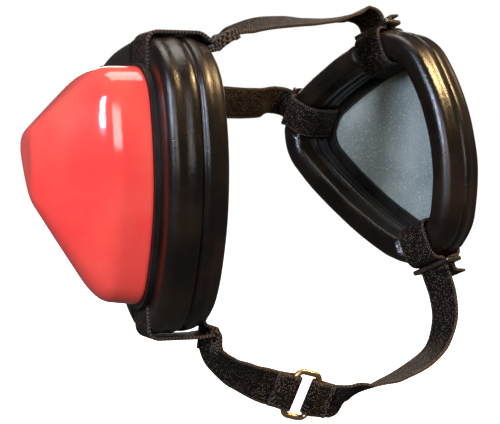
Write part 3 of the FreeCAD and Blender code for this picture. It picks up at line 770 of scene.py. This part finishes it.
def make_tape(name, frames, closed=False):
    """Woven tape through frames of (centre, across, normal)."""
    rows = []
    lengths = [0.0]
    for before, after in zip(frames, frames[1:]):
        lengths.append(lengths[-1] + (after[0] - before[0]).length)
    for k, (centre, across, normal) in enumerate(frames):
        wander = 0.12 * noise.noise(Vector((lengths[k] * 0.13, 3.1, 0.7)))
        cup_in = 0.10 * noise.noise(Vector((lengths[k] * 0.05, 9.2, 1.9)))
        row = []
        for x, y in TAPE_SECTION:
            lift = cup_in * (x / WEBBING_WIDTH * 2) ** 2
            row.append(centre + across * (x + wander) + normal * (y + lift))
        rows.append([tuple(p) for p in row])
    edge = [x for x, _ in TAPE_SECTION]
    size = len(edge)

    def uv(i, j):
        across = edge[int(j) % size]
        along = lengths[min(i, len(lengths) - 1)]
        if i >= len(lengths):
            along += (frames[0][0] - frames[-1][0]).length
        return along, across

    tape = skin(name, rows, TAPE, wrap_rows=closed, cap_start=not closed, cap_end=not closed, uv=uv)
    return tape


def rounded_route(points, radii, step=1.0):
    """Dense points along straight runs joined by tangent arcs, in a plane."""
    route = []
    for k, (point, radius) in enumerate(zip(points, radii)):
        here = Vector(point)
        if k in (0, len(points) - 1):
            route.append(here)
            continue
        back = (Vector(points[k - 1]) - here).normalized()
        ahead = (Vector(points[k + 1]) - here).normalized()
        half = back.angle(ahead) / 2
        trim = radius / math.tan(half)
        enter, leave = here + back * trim, here + ahead * trim
        count = max(4, round(radius * (math.pi - 2 * half) / 0.5))
        centre = here + (back + ahead).normalized() * radius / math.sin(half)
        a, b = enter - centre, leave - centre
        for t in np.linspace(0, 1, count):
            spoke = (a * (1 - t) + b * t).normalized() * radius
            route.append(centre + spoke)
    dense = [route[0]]
    for point in route[1:]:
        run = (point - dense[-1]).length
        if run < 1e-4:
            continue
        parts = max(1, round(run / step))
        first = dense[-1]
        dense += [first + (point - first) * (p / parts) for p in range(1, parts + 1)]
    return dense


def frames_along(points, across):
    """Frames for a flat route whose width direction never changes."""
    frames = []
    for k, point in enumerate(points):
        tangent = (points[min(k + 1, len(points) - 1)] - points[max(k - 1, 0)]).normalized()
        frames.append((point, across, tangent.cross(across).normalized()))
    return frames


TAB_GAP = LAYER + 0.06


def on_station(cup, name, route):
    """Route of (out, depth) across the cushion, in the frame's axes."""
    middle, way, tube = station(name)
    points = []
    for out, depth in route:
        u, v = middle + way * out
        points.append(to_cup(cup, u, v, depth))
    return points, cup_way(cup, tube[0], tube[1], 0)


def left_tip(name, beyond=1.6):
    """Where the left loop's legs meet, or further along the strap that they hold."""
    points, across = on_station("left", name, [(TIP_OUT[name], TIP_DEPTH - beyond)])
    return points[0], across


def left_loop_route(name):
    """Sewn loop round the cushion: its ends lie against the strap, one on each side."""
    near, far = WEBBING_SINK, CUSHION_DEEP - WEBBING_SINK
    tip, end = TIP_OUT[name], TIP_DEPTH - 1.6
    corner = max(OUTER_LEG, tip + TAB_GAP + 0.3)
    stops = [((tip + TAB_GAP, end), 0), ((tip + TAB_GAP, TIP_DEPTH + 0.2), 3.5),
             ((corner, 2.4), 6.5), ((OUTER_LEG, far), LOOP_BEND),
             ((-INNER_LEG, far), LOOP_BEND), ((-INNER_LEG, near), FRONT_BEND),
             ((tip - 3.4, near), 3.0), ((tip - TAB_GAP, TIP_DEPTH + 0.2), 1.2),
             ((tip - TAB_GAP, end), 0)]
    return rounded_route([p for p, _ in stops], [r for _, r in stops])


def right_loop_route():
    """In through one slot of the slide, round the cushion and out through the other."""
    near, far = WEBBING_SINK, CUSHION_DEEP - WEBBING_SINK
    middle, half = CUSHION_DEEP / 2, LEG_SPACING / 2
    stops = [((LEG_END, middle - half), 0), ((OUTER_LEG, middle - half), 1.5),
             ((OUTER_LEG, near), FRONT_BEND), ((-INNER_LEG, near), FRONT_BEND),
             ((-INNER_LEG, far), LOOP_BEND), ((OUTER_LEG, far), LOOP_BEND),
             ((OUTER_LEG, middle + half), 1.5), ((LEG_END + 0.6, middle + half), 1.8),
             ((LEG_END + 1.6, middle + half + TAIL_LENGTH), 0)]
    return rounded_route([p for p, _ in stops], [r for _, r in stops])


def tab_samples(name, frames, outer):
    """A loop end laid along one face of the strap that it is sewn to."""
    _, way, _ = station(name)
    outwards = cup_way("left", way[0], way[1], 0)
    samples, run = [], 0.0
    for before, (centre, across, normal) in zip(frames, frames[1:]):
        run += (centre - before[0]).length
        if TAB_START + 0.4 < run < TAB_START + TAB_LENGTH:
            face = 1 if (frames[1][2].dot(outwards) > 0) == outer else -1
            samples.append((centre + normal * face * TAB_GAP, across))
    return samples


def make_loops(straps):
    """Loops on both cups; the left ones are sewn to the straps whose frames are given."""
    for name in STRAP_ANGLE:
        points, across = on_station("left", name, left_loop_route(name))
        samples = tab_samples(name, straps[name], True)[::-1]
        samples += [(point, across) for point in points]
        samples += tab_samples(name, straps[name], False)
        loops = [("left", turning_frames(samples))]
        points, across = on_station("right", name, right_loop_route())
        loops.append(("right", frames_along(points, across)))
        for cup, frames in loops:
            loop = make_tape(f"{cup}_{name}_webbing_loop", frames)
            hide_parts(f"{cup}_{name}_loop")
            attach(loop, f"{cup}_cup")


def right_end(name, further=0.0, inwards=0.0):
    """End of the straight leg beyond a slide, or a place further out and nearer the head."""
    depth = (CUSHION_DEEP - LEG_SPACING) / 2 - inwards
    points, across = on_station("right", name, [(LEG_END + further, depth)])
    return points[0], across


def smooth_stops(stops, before, after, step=1.2):
    """Centripetal-like smooth curve through the stops, with a width direction at each sample."""
    points = [before] + [s[0] for s in stops] + [after]
    widths = [s[1] for s in stops]
    samples = []
    for i in range(len(stops) - 1):
        p0, p1, p2, p3 = points[i:i + 4]
        run = (p2 - p1).length
        m1 = (p2 - p0).normalized() * run * 0.9
        m2 = (p3 - p1).normalized() * run * 0.9
        parts = max(3, round(run / step))
        for k in range(parts):
            t = k / parts
            point = (p1 * (2 * t ** 3 - 3 * t ** 2 + 1) + m1 * (t ** 3 - 2 * t ** 2 + t)
                     + p2 * (3 * t ** 2 - 2 * t ** 3) + m2 * (t ** 3 - t ** 2))
            ease = t * t * (3 - 2 * t)
            samples.append((point, widths[i] * (1 - ease) + widths[i + 1] * ease))
    samples.append(stops[-1])
    return samples


def turning_frames(samples):
    """Frames whose width follows each sample's own direction, square to the path."""
    frames = []
    for k, (point, width) in enumerate(samples):
        ahead, behind = samples[min(k + 1, len(samples) - 1)][0], samples[max(k - 1, 0)][0]
        tangent = (ahead - behind).normalized()
        across = (width - tangent * width.dot(tangent)).normalized()
        frames.append((point, across, tangent.cross(across).normalized()))
    return frames


TAB_START = 1.9


def strap_start(name):
    """First stops of a strap, held between the ends of the left loop."""
    behind, _ = left_tip(name, -3.0)
    return [left_tip(name, 1.6 - TAB_START), left_tip(name)], behind


def strap_finish(name):
    """Last stops of a strap that dips from above into its slide, and a point inside it."""
    dips = ((3.8, 9.0), (3.4, 4.2), (2.2, 1.4), (0.0, 0.0))
    return [right_end(name, *dip) for dip in dips], right_end(name, -4.0)[0]


CROWN_STOPS = (
    (Vector((8.4, -10.5, 55.2)), Vector((0, -0.98, 0.1))),
    (Vector((18.6, -7, 59.7)), Vector((0, -0.97, -0.22))),
    (Vector((34.6, 1, 63.5)), Vector((0.05, -0.96, -0.28))),
    (Vector((53.6, 13, 65.8)), Vector((0.15, -0.95, -0.25))),
    (Vector((74.4, 27, 67.7)), Vector((0.22, -0.95, -0.12))),
    (Vector((96, 41.5, 70.8)), Vector((0.28, -0.93, 0.15))),
)
NAPE_STOPS = (
    (Vector((10, 53, 38)), Vector((-0.05, -0.65, 0.75))),
    (Vector((20, 60.5, 34.8)), Vector((-0.15, -0.5, 0.85))),
    (Vector((37.1, 73, 31.6)), Vector((-0.1, -0.25, 0.95))),
    (Vector((59.4, 87, 30.3)), Vector((0, -0.15, 1))),
    (Vector((79.4, 100, 30.2)), Vector((0.05, -0.2, 0.97))),
)
CHIN_LEFT_STOPS = (
    (Vector((5.2, -7.5, -68.3)), Vector((0, 0.85, -0.5))),
    (Vector((10.9, -6.5, -76)), Vector((-0.05, 0.75, -0.65))),
    (Vector((20, -6, -82.5)), Vector((-0.2, 0.55, -0.8))),
)
CHIN_RIGHT_STOPS = (
    (Vector((74, -4, -97.2)), Vector((-0.1, 0.7, -0.7))),
    (Vector((84, -3, -96.6)), Vector((0, 0.9, -0.4))),
    (Vector((98.4, -1, -94.9)), Vector((0, 0.98, -0.2))),
    (Vector((114.8, 2, -90.6)), Vector((-0.05, 0.98, -0.12))),
    (Vector((127, 5, -84.1)), Vector((-0.1, 0.97, -0.2))),
    (Vector((134.3, 9, -72.1)), Vector((-0.25, 0.92, -0.3))),
    (Vector((135.3, 12.8, -61.1)), Vector((-0.3, 0.87, -0.4))),
)


def nearest(frames, point):
    return min(range(len(frames)), key=lambda k: (frames[k][0] - point).length)


def make_long_strap(name, stops, split):
    """Crown or nape strap in two halves that meet at the stop numbered split."""
    start, behind = strap_start(name)
    finish, inside = strap_finish(name)
    frames = turning_frames(smooth_stops(start + list(stops) + finish, behind, inside))
    middle = nearest(frames, stops[split][0])
    halves = (("left", frames[:middle + 1]), ("right", frames[middle:]))
    for side, part in halves:
        tape = make_tape(f"{name}_strap_{side}_half", part)
        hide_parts(f"{name}_strap")
        if side == "left":
            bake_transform(tape)
        else:
            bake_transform(tape)
    return frames


def ring_point(along, normal):
    return RING_CENTRE + RING_ALONG * along + RING_NORMAL * normal


def eye_route(side):
    """Strap end that goes over a ring bar, round it and back along its own underside."""
    bar = RING_SPAN / 2
    turn = RING_WIRE + 0.35 + LAYER / 2
    over = [(bar + 10.0, 0.5), (bar + 7.0, 0.76), (bar + 4.0, 1.15)]
    curl = [(bar + turn * math.cos(a), turn * math.sin(a))
            for a in np.radians(np.arange(70, 291, 14))]
    under = [(bar + 4.0, -1.15), (bar + 6.5, -0.78), (bar + 9.0, -0.76)]
    return [ring_point(side * x, z) for x, z in over + curl + under]


def make_chin_straps():
    """Both chin straps, the right one in two halves; returns the left one's frames."""
    start, behind = strap_start("chin")
    eye = eye_route(-1)
    lead = start + list(CHIN_LEFT_STOPS) + [(eye[0], RING_ACROSS)]
    samples = smooth_stops(lead, behind, eye[1])
    samples += [(point, RING_ACROSS) for point in refined(eye)[1:]]
    left_frames = turning_frames(samples)
    tape = make_tape("chin_strap_left_half", left_frames)
    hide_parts("chin_strap_left")
    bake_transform(tape)

    end = right_end("chin")
    eye = eye_route(1)
    lead = [(eye[0], RING_ACROSS)] + list(CHIN_RIGHT_STOPS) + [end]
    samples = smooth_stops(lead, eye[1], right_end("chin", -4.0)[0])
    frames = turning_frames([(p, RING_ACROSS) for p in reversed(refined(eye)[1:])] + samples)
    joint = CHIN_RIGHT_STOPS[1][0]
    middle = nearest(frames, joint)
    near_ring = make_tape("chin_strap_ring_half", frames[:middle + 1])
    near_cup = make_tape("chin_strap_cup_half", frames[middle:])
    for tape in (near_ring, near_cup):
        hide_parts("chin_strap_right")
    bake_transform(near_ring)
    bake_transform(near_cup)
    return left_frames


def refined(points, step=0.7):
    """The same polyline with short, even steps."""
    dense = [points[0]]
    for first, last in zip(points, points[1:]):
        parts = max(1, round((last - first).length / step))
        dense += [first + (last - first) * (k / parts) for k in range(1, parts + 1)]
    return dense


# ------------------------------------------------------------------ stitches

def build_stitch_tree():
    """Rows of short threads along every edge path of the mesh."""
    tree = bpy.data.node_groups.new("stitch_rows", "GeometryNodeTree")
    face = tree.interface
    face.new_socket("Paths", in_out="INPUT", socket_type="NodeSocketGeometry")
    for title, value in (("Stitch length", 0.0022), ("Thread radius", 0.00017), ("Gap", 0.0007),
                         ("Unevenness", 0.12)):
        face.new_socket(title, in_out="INPUT", socket_type="NodeSocketFloat").default_value = value
    face.new_socket("Thread", in_out="INPUT", socket_type="NodeSocketMaterial")
    face.new_socket("Seed", in_out="INPUT", socket_type="NodeSocketInt").default_value = 7
    face.new_socket("Stitches", in_out="OUTPUT", socket_type="NodeSocketGeometry")
    start = tree.nodes.new("NodeGroupInput")
    end = tree.nodes.new("NodeGroupOutput")

    curve = put(tree, "GeometryNodeMeshToCurve", i0=start.outputs["Paths"])
    pitch = sums(tree, "ADD", start.outputs["Stitch length"], start.outputs["Gap"])
    points = put(tree, "GeometryNodeCurveToPoints", {"mode": "LENGTH"}, Curve=curve.outputs[0],
                 Length=pitch)
    capsule = put(tree, "GeometryNodeMeshIcoSphere", Subdivisions=2, Radius=1.0)
    half = sums(tree, "MULTIPLY", start.outputs["Stitch length"], 0.5)
    scale = put(tree, "ShaderNodeCombineXYZ", i0=start.outputs["Thread radius"],
                i1=start.outputs["Thread radius"], i2=half)
    uneven = put(tree, "FunctionNodeRandomValue", {"data_type": "FLOAT"},
                 Seed=start.outputs["Seed"])
    least, most = [socket for socket in uneven.inputs if socket.type == "VALUE"][:2]
    tree.links.new(sums(tree, "SUBTRACT", 1.0, start.outputs["Unevenness"]), least)
    most.default_value = 1.0
    drawn = [socket for socket in uneven.outputs if socket.type == "VALUE"][0]
    stretch = put(tree, "ShaderNodeVectorMath", {"operation": "SCALE"}, i0=scale.outputs[0],
                  Scale=drawn)
    turn = put(tree, "FunctionNodeAlignEulerToVector", {"axis": "Z"},
               Vector=points.outputs["Tangent"])
    copies = put(tree, "GeometryNodeInstanceOnPoints", Points=points.outputs["Points"],
                 Instance=capsule.outputs[0], Rotation=turn.outputs[0], Scale=stretch.outputs[0])
    real = put(tree, "GeometryNodeRealizeInstances", i0=copies.outputs[0])
    dyed = put(tree, "GeometryNodeSetMaterial", Geometry=real.outputs[0],
               Material=start.outputs["Thread"])
    tree.links.new(dyed.outputs[0], end.inputs[0])
    return tree


STITCH_ROWS = build_stitch_tree()


def make_stitches(name, paths):
    """One mesh of stitches along the given paths of points in millimetres."""
    points, edges = [], []
    for path in paths:
        base = len(points)
        points += [tuple(p * MM) for p in path]
        edges += [(base + k, base + k + 1) for k in range(len(path) - 1)]
    mesh = bpy.data.meshes.new(f"{name}_paths")
    mesh.from_pydata(points, edges, [])
    guide = bpy.data.objects.new(f"{name}_guide", mesh)
    bpy.context.scene.collection.objects.link(guide)
    modifier = guide.modifiers.new("stitches", "NODES")
    modifier.node_group = STITCH_ROWS
    for item in STITCH_ROWS.interface.items_tree:
        if item.name == "Thread" and item.in_out == "INPUT":
            modifier[item.identifier] = THREAD
    graph = bpy.context.evaluated_depsgraph_get()
    result = bpy.data.meshes.new_from_object(guide.evaluated_get(graph))
    bpy.data.objects.remove(guide)
    result.name = name
    result.polygons.foreach_set("use_smooth", [True] * len(result.polygons))
    thing = bpy.data.objects.new(name, result)
    bpy.context.scene.collection.objects.link(thing)
    return thing


def cross_box(origin, along, across, lift, length, width):
    """Sewn box with a cross in it, on a face lifted off the tape's middle."""
    corners = [(0, -1), (1, -1), (1, 1), (0, 1)]

    def at(share, side):
        return origin + along * (share * length) + across * (side * width / 2) + lift

    box = [at(*corners[k % 4]) for k in range(5)]
    return [refined(box, 0.5), refined([at(0, -1), at(1, 1)], 0.5),
            refined([at(0, 1), at(1, -1)], 0.5)]


def tape_box(frames, first, last, width, lift):
    """Sewn box with a cross, laid along a tape's frames between two distances."""
    runs = [0.0]
    for before, after in zip(frames, frames[1:]):
        runs.append(runs[-1] + (after[0] - before[0]).length)

    def at(share, side):
        reach = first + (last - first) * share
        k = max(1, next((i for i, run in enumerate(runs) if run >= reach), len(runs) - 1))
        t = (reach - runs[k - 1]) / max(1e-6, runs[k] - runs[k - 1])
        centre, across, normal = (a.lerp(b, t) for a, b in zip(frames[k - 1], frames[k]))
        return centre + across * (side * width / 2) + normal * lift

    def line(start, end):
        return [at(start[0] + (end[0] - start[0]) * t, start[1] + (end[1] - start[1]) * t)
                for t in np.linspace(0, 1, 25)]

    corners = [(0, -1), (1, -1), (1, 1), (0, 1), (0, -1)]
    sides = [line(a, b) for a, b in zip(corners, corners[1:])]
    return sides + [line((0, -1), (1, 1)), line((0, 1), (1, -1))]


def make_all_stitches(straps):
    surface = LAYER / 2 + 0.06
    for name in STRAP_ANGLE:
        paths = []
        for side in (1, -1):
            paths += tape_box(straps[name], TAB_START + 1.6, TAB_START + TAB_LENGTH - 1.2,
                              WEBBING_WIDTH - STITCH_INSET, side * (TAB_GAP + surface))
        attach(make_stitches(f"left_{name}_box_stitch", paths), "left_cup")

    for side, title in ((-1, "left"), (1, "right")):
        begin = ring_point(side * (RING_SPAN / 2 + 4.2), 0)
        along = RING_ALONG * side
        paths = []
        for face in (1, -1):
            lift = RING_NORMAL * face * (0.75 + surface)
            paths += cross_box(begin, along, RING_ACROSS, lift, 4.4, WEBBING_WIDTH - STITCH_INSET)
        stitches = make_stitches(f"chin_{title}_end_stitch", paths)
        if side < 0:
            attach(stitches, "harness")
        else:
            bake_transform(stitches)

    for name in STRAP_ANGLE:
        middle, half = CUSHION_DEEP / 2, LEG_SPACING / 2
        paths = []
        for inset in (1.2, 2.4):
            route = [(LEG_END + 1.35 + surface - inset * 0.14, middle + half + TAIL_LENGTH - inset)]
            points, across = on_station("right", name, route)
            ends = [points[0] + across * s * (WEBBING_WIDTH / 2 - 1.2) for s in (-1, 1)]
            paths.append(refined(ends, 0.5))
        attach(make_stitches(f"right_{name}_tail_stitch", paths), "right_cup")


# ------------------------------------------------------------------ ring and hard parts

def make_ring():
    """Bent wire ring with a brazed joint in one of its ends."""
    x, y, bend = RING_SPAN / 2, RING_WIDTH / 2, RING_CORNER
    path = []
    for cx, cy, first in ((x - bend, y - bend, 0), (-x + bend, y - bend, 90),
                          (-x + bend, -y + bend, 180), (x - bend, -y + bend, 270)):
        for angle in np.radians(np.linspace(first, first + 90, 10)):
            path.append((cx + bend * math.cos(angle), cy + bend * math.sin(angle)))
    path = path_closed(path, 0.8)
    rows = []
    for k, here in enumerate(path):
        ahead, behind = path[(k + 1) % len(path)], path[k - 1]
        tangent = (ahead - behind).normalized()
        out = Vector((tangent.y, -tangent.x))
        joint = math.exp(-((here.x - 1.0) / 0.7) ** 2) if here.y > y - 0.5 else 0
        radius = RING_WIRE * (1 + 0.09 * joint)
        row = []
        for angle in np.linspace(0, 2 * math.pi, 20, endpoint=False):
            flat = here + out * radius * math.cos(angle)
            lift = radius * math.sin(angle)
            row.append(tuple(RING_CENTRE + RING_ALONG * flat.x + RING_ACROSS * flat.y
                             + RING_NORMAL * lift))
        rows.append(row)
    ring = skin("chin_ring_wire", rows, BRASS, wrap_rows=True)
    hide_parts("chin_ring")
    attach(ring, "ring")


def path_closed(points, step):
    """Even points round a closed flat path."""
    dense = []
    for k, point in enumerate(points):
        first, last = Vector(point), Vector(points[(k + 1) % len(points)])
        run = (last - first).length
        if run < 1e-4:
            continue
        parts = max(1, round(run / step))
        dense += [first + (last - first) * (p / parts) for p in range(parts)]
    return dense


def paint_kept_nodes():
    """CAD parts whose shape is right keep it and get their own finish."""
    finishes = {"left_flange": FLANGE, "right_flange": FLANGE, "crown_slide": SLIDE,
                "nape_slide": SLIDE, "chin_slide": SLIDE}
    for node, material in finishes.items():
        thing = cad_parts[node]
        thing.data.materials.clear()
        thing.data.materials.append(material)


make_camera()
make_studio()
make_floor()
for cup_name in ("left", "right"):
    make_shell(cup_name)
    make_cushion(cup_name)
    make_liner(cup_name)
strap_frames = {"crown": make_long_strap("crown", CROWN_STOPS, 3),
                "nape": make_long_strap("nape", NAPE_STOPS, 2),
                "chin": make_chin_straps()}
make_loops(strap_frames)
make_all_stitches(strap_frames)
make_ring()
paint_kept_nodes()
